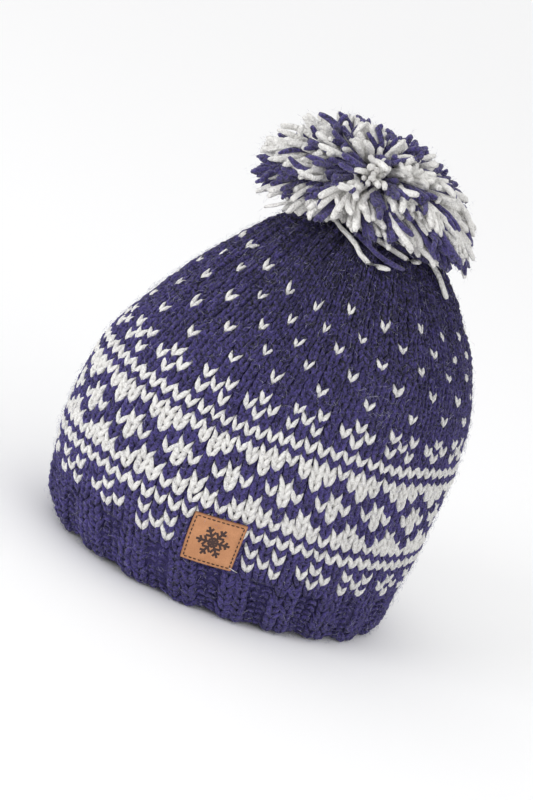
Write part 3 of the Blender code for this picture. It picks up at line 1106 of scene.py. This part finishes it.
STRAND_WIDTHS = (0.82, 1.12)
strand_bar = modelled_bar(7, len(STEPS) - 2)
taper = np.array([0.7, 0.8, 0.9, 1.0, 1.0, 1.0, 1.02, 1.04, 0.92, 0.5])
widths = STRAND_THICKNESS * taper * random.uniform(*STRAND_WIDTHS, (STRANDS, 1))
widths[wisps] *= WISP_WIDTH
strand_points = swept(strand_bar, paths, widths)
strand_points = strand_points + random.normal(0, ROUGHNESS, strand_points.shape)

strand_tone = random.uniform(0, 1, STRANDS)

strand_navy = wool("navy_strands", NAVY_DEEP, NAVY_LIT, 9.0, 0.25)
strand_cream = wool("cream_strands", CREAM_DEEP, CREAM_LIT, 9.0, 0.15)
cream_piece = joined(
    "pompom_cream_strands", strand_bar, strand_points[cream_strand],
    strand_tone[cream_strand], strand_cream)
joined(
    "pompom_navy_strands", strand_bar, strand_points[~cream_strand],
    strand_tone[~cream_strand], strand_navy)
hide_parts("pompom")

# %% [markdown]
# A few strands were never wound in as tightly as the rest. They slip out below the
# pompom and lie side by side on the crown, swept to the right. Each is given by the
# rows and columns that it crosses.

# %% Stray strands
STRAY_LIFT = 0.4 * MM  # of a stray's underside over the stitches
STRAY_SLIMNESS = 0.85  # of its width to that of the strands in the pompom
Stray = namedtuple("Stray", "tone rows columns")
CREAM_STRAYS = [
    Stray(0.9, [49.4, 47.0, 45.6, 44.9, 43.4, 42.5, 42.9], [-12.0, -8.8, -5.8, -3.2, -1.6, 0.4, 3.8]),
    Stray(0.6, [51.0, 49.6, 48.4, 47.4, 46.4, 45.2, 45.4], [-9.5, -6.0, -2.0, 1.5, 4.5, 8.0, 11.5]),
    Stray(0.8, [49.5, 48.2, 47.6, 46.8, 45.8], [1.0, 5.0, 9.5, 17.0, 24.5]),
    Stray(0.5, [49.0, 46.5, 44.5, 42.6, 40.8], [16.0, 15.6, 15.2, 15.0, 15.0]),
]
NAVY_STRAYS = [
    Stray(0.9, [50.4, 48.4, 47.0, 45.9, 44.6, 43.8, 43.6], [-11.0, -7.5, -4.6, -1.8, 0.6, 3.2, 6.4]),
    Stray(0.4, [50.6, 49.4, 48.6, 47.2, 46.4, 45.6], [-3.0, 0.5, 4.0, 8.0, 12.0, 15.0]),
]


def lay_strays(name, strays, wool_finish):
    """Strands that lie on the crown."""
    laid = []
    for stray in strays:
        share = STEPS * (len(stray.rows) - 1)
        row = np.interp(share, range(len(stray.rows)), stray.rows)
        column = np.interp(share, range(len(stray.columns)), stray.columns)
        place = place_of_row(row)
        stitch = column + body_value(place, "column_at")
        lift = STRAND_THICKNESS + STRAY_LIFT
        laid.append(skin_point(place, stitch) + lift * skin_normal(place, stitch))
    widths = STRAND_THICKNESS * STRAY_SLIMNESS * np.tile(taper, (len(strays), 1))
    tones = np.array([stray.tone for stray in strays])
    points = swept(strand_bar, np.array(laid), widths)
    joined(name, strand_bar, points, tones, wool_finish)


lay_strays("pompom_stray_strands", CREAM_STRAYS, strand_cream)
lay_strays("pompom_navy_strays", NAVY_STRAYS, strand_navy)

# %% [markdown]
# Between the strands one looks into the imported middle of the pompom, which is dark.
# An icosphere, roughened and settled like the strands, fills it. Its near-black navy
# and grey are painted shade, for the little light that reaches so deep.

# %% The imported middle
CORE_RADIUS = 25 * MM

bpy.ops.object.select_all(action="DESELECT")
bpy.ops.mesh.primitive_ico_sphere_add(subdivisions=4, radius=CORE_RADIUS)
core = bpy.context.object
core.name = "pompom_core"
core_points = corners_of(core.data)
rough = 1 + 0.10 * np.sin(core_points @ np.array([900.0, 500.0, 300.0]))
rough *= 1 + 0.08 * np.sin(core_points @ np.array([-400.0, 800.0, 700.0]))
move_corners(core.data, settled(core_points * rough[:, None]))
core.data.shade_smooth()
core_finish = Finish("shaded_packed_wool", Roughness=1.0)
core_hairs = core_finish.noise(core_finish.coordinates(), 700.0)
# Painted shade: the middle runs from near-black navy to dark grey, paler where its bump stands up.
core_finish.colour(core_finish.mix(core_hairs, NAVY_DEEP, (0.09, 0.08, 0.14, 1.0)))
core_finish.raise_surface(core_hairs, 1.0 * MM)
core.data.materials.append(core_finish.material)
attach(core, "root")
print("the packed middle has", len(core.data.polygons), "faces")

# %% [markdown]
# The patch is a stiff square of tan leather. It starts as a flat grid, gets its
# thickness and a soft edge from modifiers, and is then laid on the knitting, sunk
# a little where its thread pulls it down.

# %% Where the patch lies
PATCH_WIDTH = 27.2 * MM
PATCH_HEIGHT = 25.6 * MM
PATCH_THICKNESS = 1.6 * MM
PATCH_CORNER = 0.3 * MM
PATCH_AT_STITCH = -6.3
PATCH_AT_HEIGHT = 41.2 * MM
PATCH_TURN = radians(6.0)
PATCH_LEAN = 0.10  # its sides lean, because the knitting pulls it out of square
PATCH_GAP = 0.3 * MM
SEWN_INSET = 1.5 * MM
SEWN_DEPTH = 0.28 * MM
SEWN_WIDTH = 0.6 * MM

patch_place = place_at_height(PATCH_AT_HEIGHT)
patch_stitch_width = np.linalg.norm(
    skin_point(patch_place, PATCH_AT_STITCH + 1) - skin_point(patch_place, PATCH_AT_STITCH))


def on_patch(x, y, lift):
    """A point over the patch: metres across, up and out from the middle of its back."""
    x = x + y * PATCH_LEAN
    run = x * cos(PATCH_TURN) - y * sin(PATCH_TURN)
    climb = x * sin(PATCH_TURN) + y * cos(PATCH_TURN)
    place = place_at_height(PATCH_AT_HEIGHT + climb)
    stitch = PATCH_AT_STITCH + run / patch_stitch_width
    return skin_point(place, stitch) + (PATCH_GAP + lift)[..., None] * skin_normal(place, stitch)


print("the patch covers", round(PATCH_WIDTH / patch_stitch_width, 1), "stitches")

# %% Cut the leather patch
bpy.ops.object.select_all(action="DESELECT")
bpy.ops.mesh.primitive_grid_add(x_subdivisions=54, y_subdivisions=50, size=1.0)
patch = bpy.context.object
patch.name = "stitched_leather_patch"
patch.scale = (PATCH_WIDTH, PATCH_HEIGHT, 1.0)
bpy.ops.object.transform_apply(scale=True)
thick = patch.modifiers.new("leather", "SOLIDIFY")
thick.thickness = PATCH_THICKNESS
thick.offset = 1.0
edge = patch.modifiers.new("soft_edge", "BEVEL")
edge.width = 0.4 * MM
edge.segments = 3
edge.limit_method = "ANGLE"
for modifier in (thick, edge):
    bpy.ops.object.modifier_apply(modifier=modifier.name)
flat = corners_of(patch.data)
x, y, lift = flat.T
to_edge = np.minimum(PATCH_WIDTH / 2 - np.abs(x), PATCH_HEIGHT / 2 - np.abs(y))
sewn = np.exp(-((to_edge - SEWN_INSET) / SEWN_WIDTH) ** 2)
lift = lift - SEWN_DEPTH * sewn * (lift / PATCH_THICKNESS)
pull = (2 * x / PATCH_WIDTH) ** 4 * (2 * y / PATCH_HEIGHT) ** 4 * PATCH_CORNER
move_corners(
    patch.data, on_patch(x * (1 - pull / PATCH_WIDTH), y * (1 - pull / PATCH_HEIGHT), lift))
patch_map = patch.data.uv_layers[0]
patch_map.name = "patch"
for loop in patch.data.loops:
    spot = flat[loop.vertex_index]
    patch_map.data[loop.index].uv = (spot[0] / PATCH_WIDTH + 0.5, spot[1] / PATCH_HEIGHT + 0.5)
patch.data.shade_smooth()
print("the patch has", len(patch.data.polygons), "faces")

# %% [markdown]
# The leather's face is a warm tan with a fine grain and paler scuffs. Its edge is
# burnished dark by the cutter. The middle carries a burnt-in snowflake, a plain
# winter ornament: six arms with two pairs of twigs. All the arms are one drawing,
# because the angle round the middle is folded to a twelfth of a turn first.

# %% A burnt-in snowflake
MOTIF_ARM = 8.6 * MM
MOTIF_LINE = 0.62 * MM  # half the width of its lines
MOTIF_HUB = 2.0 * MM
TWIG_AT = (3.4 * MM, 5.9 * MM)
TWIG_LENGTHS = (3.0 * MM, 2.2 * MM)


def snowflake(finish, x, y):
    """1 on the lines of a six-armed snowflake and 0 off them."""
    radius = (x * x + y * y) ** 0.5
    angle = finish.node("ShaderNodeMath", {"operation": "ARCTAN2"}, {0: y, 1: x})
    settings = {"operation": "PINGPONG"}
    folded = finish.node("ShaderNodeMath", settings, {0: angle + tau, 1: pi / 6})
    out_along = radius * (pi / 2 - folded).sine()
    beside = radius * folded.sine()
    arm = (beside < MOTIF_LINE) * (out_along < MOTIF_ARM)
    shape = arm
    for start, length in zip(TWIG_AT, TWIG_LENGTHS):
        # A twig leaves the arm at sixty degrees.
        along_twig = (out_along - start) * cos(pi / 3) + beside * sin(pi / 3)
        off_twig = abs((out_along - start) * sin(pi / 3) - beside * cos(pi / 3))
        twig = (off_twig < MOTIF_LINE) * (along_twig < length) * (along_twig > 0.0)
        shape = shape.larger(twig)
    hub = (out_along < MOTIF_HUB + MOTIF_LINE) * (out_along > MOTIF_HUB - MOTIF_LINE)
    return shape.larger(hub)


print("the snowflake is", round(2 * MOTIF_ARM / MM, 1), "mm across")

# %% Leather
TAN_DEEP = (0.350, 0.147, 0.062, 1.0)
TAN_LIT = (0.595, 0.284, 0.136, 1.0)
GRAIN_BROWN = (0.33, 0.145, 0.055, 1.0)
EDGE_BROWN = (0.16, 0.065, 0.025, 1.0)
BURNT_BROWN = (0.026, 0.012, 0.014, 1.0)
BURNISHED = 1.1 * MM  # how far in from its edge the leather is dark


def leather():
    finish = Finish("tan_leather", Roughness=0.55, Specular_IOR_Level=0.4, Coat_Weight=0.05)
    u, v, _ = finish.parts(finish.node("ShaderNodeUVMap", {"uv_map": "patch"}))
    x = (u - 0.5) * PATCH_WIDTH
    y = (v - 0.5) * PATCH_HEIGHT
    place = finish.coordinates()
    grain = finish.noise(place, 1700.0, 4.0)
    cloud = finish.noise(place, 190.0, 3.0)
    face = finish.mix(cloud, TAN_DEEP, TAN_LIT)
    face = finish.mix((grain - 0.45) * 1.6, face, GRAIN_BROWN)
    inset = (PATCH_WIDTH / 2 - abs(x)).smaller(PATCH_HEIGHT / 2 - abs(y))
    edge = (1.0 - inset / BURNISHED).larger(0.0) ** 1.5
    face = finish.mix(edge * 0.75, face, EDGE_BROWN)
    burnt = snowflake(finish, x, y)
    finish.colour(finish.mix(burnt * 0.96, face, BURNT_BROWN))
    finish.raise_surface(grain * 0.25 - burnt * 1.0, 0.3 * MM)
    return finish.material


patch.data.materials.append(leather())
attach(patch, "root")
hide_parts("leather_patch")
print("the leather has", len(patch.data.materials[0].node_tree.nodes), "nodes")

# %% [markdown]
# Dark thread holds the patch on: a line of short stitches just inside its edge.
# Each is one bar that comes up through the leather, lies on it and goes down.

# %% Sew the patch on
SEWN_PER_SIDE = 10
SEWN_SHARE = 0.68  # the rest of each step is thread on the back
THREAD = 0.30 * MM
THREAD_RISE = 0.28 * MM  # the middle of a thread stitch over the sunk leather
THREAD_DIVE = 0.75 * MM  # and how far its ends go down from there
THREAD_DEEP = (0.020, 0.010, 0.008, 1.0)
THREAD_LIT = (0.10, 0.05, 0.035, 1.0)


def sewn_line():
    """Middle, direction and half length of each thread stitch round the patch."""
    line = []
    half_width = PATCH_WIDTH / 2 - SEWN_INSET
    half_height = PATCH_HEIGHT / 2 - SEWN_INSET
    for turn in range(4):
        ahead = Vector((cos(turn * pi / 2), sin(turn * pi / 2)))
        inward = Vector((-ahead.y, ahead.x))
        half_run, half_off = (half_width, half_height) if turn % 2 == 0 else (half_height, half_width)
        step = 2 * half_run / SEWN_PER_SIDE
        for number in range(SEWN_PER_SIDE):
            run = -half_run + (number + 0.5) * step
            line.append((ahead * run - inward * half_off, ahead, step * SEWN_SHARE / 2))
    return line


thread_paths = []
for middle, ahead, half in sewn_line():
    share = np.linspace(-1, 1, STITCH_CUTS + 2)
    height = PATCH_THICKNESS - SEWN_DEPTH + THREAD_RISE - THREAD_DIVE * share ** 4
    x = middle.x + ahead.x * half * share
    y = middle.y + ahead.y * half * share
    thread_paths.append(on_patch(x, y, height))
thread_paths = np.array(thread_paths)
thread_widths = np.full(thread_paths.shape[:2], THREAD)
thread_wool = wool("brown_thread", THREAD_DEEP, THREAD_LIT, 5.0, 0.1)
thread_tones = np.random.default_rng(31).uniform(0, 1, len(thread_paths))
joined("patch_thread", stitch_bar, swept(stitch_bar, thread_paths, thread_widths),
       thread_tones, thread_wool)

# %% [markdown]
# The end of the sewing thread was left hanging at a corner of the patch: a pale
# wisp, less than a centimetre long.

# %% The thread's loose end
TAIL_WIDTH = 0.17 * MM

share = np.linspace(0, 1, len(STEPS))
tail_x = PATCH_WIDTH / 2 - 1.5 * MM + 5.0 * MM * share
tail_y = -PATCH_HEIGHT / 2 + 2.0 * MM - 2.4 * MM * share ** 1.6
tail_lift = PATCH_THICKNESS * (1 - share) + 0.9 * MM * np.sin(pi * share) + 0.2 * MM
tail_path = on_patch(tail_x, tail_y, tail_lift)[None]
tail_widths = np.full((1, len(STEPS)), TAIL_WIDTH)
joined("patch_thread_end", strand_bar, swept(strand_bar, tail_path, tail_widths),
       np.array([0.6]), strand_cream)

# %% [markdown]
# Wool has a halo. Single hairs stand off the yarn and cross the pattern, and it is
# they that make the outline of the hat soft. In one place, above the pattern on the
# right, a few long pale ones have tangled. Each hair is the thinnest closed shape
# there is, two pyramids of three sides, slightly bent at the waist.

# %% The shape of a hair
hair_faces = [(0, 1, 2), (0, 2, 3), (0, 3, 1), (4, 2, 1), (4, 3, 2), (4, 1, 3)]
hair_bar = Bar(
    np.array([0.0, 0.5, 0.5, 0.5, 1.0]),
    np.array([0.0, 0.0, tau / 3, 2 * tau / 3, 0.0]),
    hair_faces,
    np.zeros((18, 2)) + 0.5,
)
hair_shape = np.array([0.0, 1.0, 1.0, 1.0, 0.0])
print("a hair has", len(hair_faces), "faces")

# %% Let hairs stand off the wool
HAIR_WIDTH = 0.042 * MM
HAIR_LENGTHS = (0.5, 1.3)
HAIR_CURL = 0.26


def add_hairs(name, roots, outward, length, rise, material, seed):
    """Hairs from the roots; rise 0 lies flat on the wool and large values stand off it."""
    random = np.random.default_rng(seed)
    count = len(roots)
    aside = random.normal(0, 1, (count, 3))
    aside = unit(aside - outward * (aside * outward).sum(-1, keepdims=True))
    heading = unit(aside + outward * rise * random.uniform(0, 1, (count, 1)))
    reach = length * random.uniform(*HAIR_LENGTHS, (count, 1))
    droop = unit(random.normal(0, 1, (count, 3))) * reach * HAIR_CURL
    path = np.stack([roots, roots + heading * reach * 0.5 + droop, roots + heading * reach], axis=1)
    path[..., 2] = np.maximum(path[..., 2], 0.15 * MM)
    widths = np.full((count, 3), HAIR_WIDTH)
    points = swept(hair_bar, path, widths)
    ends = hair_shape[None, :, None]
    middle_line = path[:, np.rint(hair_bar.along * 2).astype(int)]
    points = middle_line + (points - middle_line) * ends
    joined(name, hair_bar, points, random.uniform(0, 1, count), material)


def hair_finish(name, darkest, palest):
    """Hairs of every shade between two colours."""
    finish = Finish(name, Roughness=0.8, Specular_IOR_Level=0.3)
    finish.colour(finish.mix(finish.attribute("tone"), darkest, palest))
    return finish.material


def knit_roots(count, seed, rows, columns):
    """Places on the stitches between two rows and two columns, and the way out of the skin."""
    random = np.random.default_rng(seed)
    column = random.uniform(*columns, count)
    row = random.uniform(*rows, count)
    place = place_of_row(row)
    stitch = column + body_value(place, "column_at")
    return knit_point(column, row, random.uniform(-0.4, 0.5, count) * MM), skin_normal(place, stitch)


# Painted light: the darkest pale hairs, far darker and bluer than cream, are painted shade, and the palest
# navy hairs, paler than the navy yarn, are a painted highlight.
pale_hair = hair_finish("pale_hair", (0.17, 0.16, 0.30, 1.0), (0.72, 0.72, 0.80, 1.0))
navy_hair = hair_finish("navy_hair", (0.040, 0.035, 0.125, 1.0), (0.12, 0.105, 0.35, 1.0))
print("hairs are", pale_hair.name, "or", navy_hair.name)

# %% Hairs on the knitting and on the pompom
ALL_ROWS = (FIRST_ROW, top_row)
ALL_COLUMNS = (0, STITCHES)
Hairs = namedtuple("Hairs", "name count rows columns length rise wool seed")
KNIT_HAIRS = [
    Hairs("pale_hairs", 4200, ALL_ROWS, ALL_COLUMNS, 6.0 * MM, 0.50, pale_hair, 41),
    Hairs("navy_hairs", 15000, ALL_ROWS, ALL_COLUMNS, 5.0 * MM, 0.45, navy_hair, 43),
    Hairs("pale_hair_tangle", 80, (19.5, 27.5), (3.0, 7.0), 8.0 * MM, 0.40, pale_hair, 48),
]
POMPOM_HAIRS = 2600

for hairs in KNIT_HAIRS:
    roots, out = knit_roots(hairs.count, hairs.seed, hairs.rows, hairs.columns)
    add_hairs(hairs.name, roots, out, hairs.length, hairs.rise, hairs.wool, hairs.seed + 1)

tips = paths[:, -1]
tip_out = unit(paths[:, -1] - paths[:, -3])
picked = np.random.default_rng(45).integers(0, STRANDS, POMPOM_HAIRS)
beside_tips = np.random.default_rng(46).normal(0, 1.0 * MM, (POMPOM_HAIRS, 3))
add_hairs("pompom_hairs", tips[picked] + beside_tips, tip_out[picked],
          4.0 * MM, 2.5, pale_hair, 47)

# %% [markdown]
# The cord that ties the pompom on passes through the hole at the top, and its knot
# sits inside. The solid model has its shape already, so it only gets its wool.

# %% The tie
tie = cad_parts["pompom_tie"]
tie_finish = Finish("tie_wool", Roughness=0.95, Sheen_Weight=0.2, Specular_IOR_Level=0.2)
tie_place = tie_finish.coordinates()
tie_hairs = tie_finish.noise(tie_place, 1200.0, 3.0)
tie_wave = tie_finish.node(
    "ShaderNodeTexWave", {"bands_direction": "DIAGONAL"}, {"Vector": tie_place, "Scale": 260.0})
# The colour follows the twist and hairs that bump the cord: painted shade, darker in their low places.
tie_finish.colour(tie_finish.mix(tie_wave * 0.5 + tie_hairs * 0.5, NAVY_DEEP, NAVY_LIT))
tie_finish.raise_surface(tie_wave + tie_hairs * 0.4, 0.5 * MM)
tie.data.materials.clear()
tie.data.materials.append(tie_finish.material)
print("the tie has", len(tie.data.polygons), "faces")
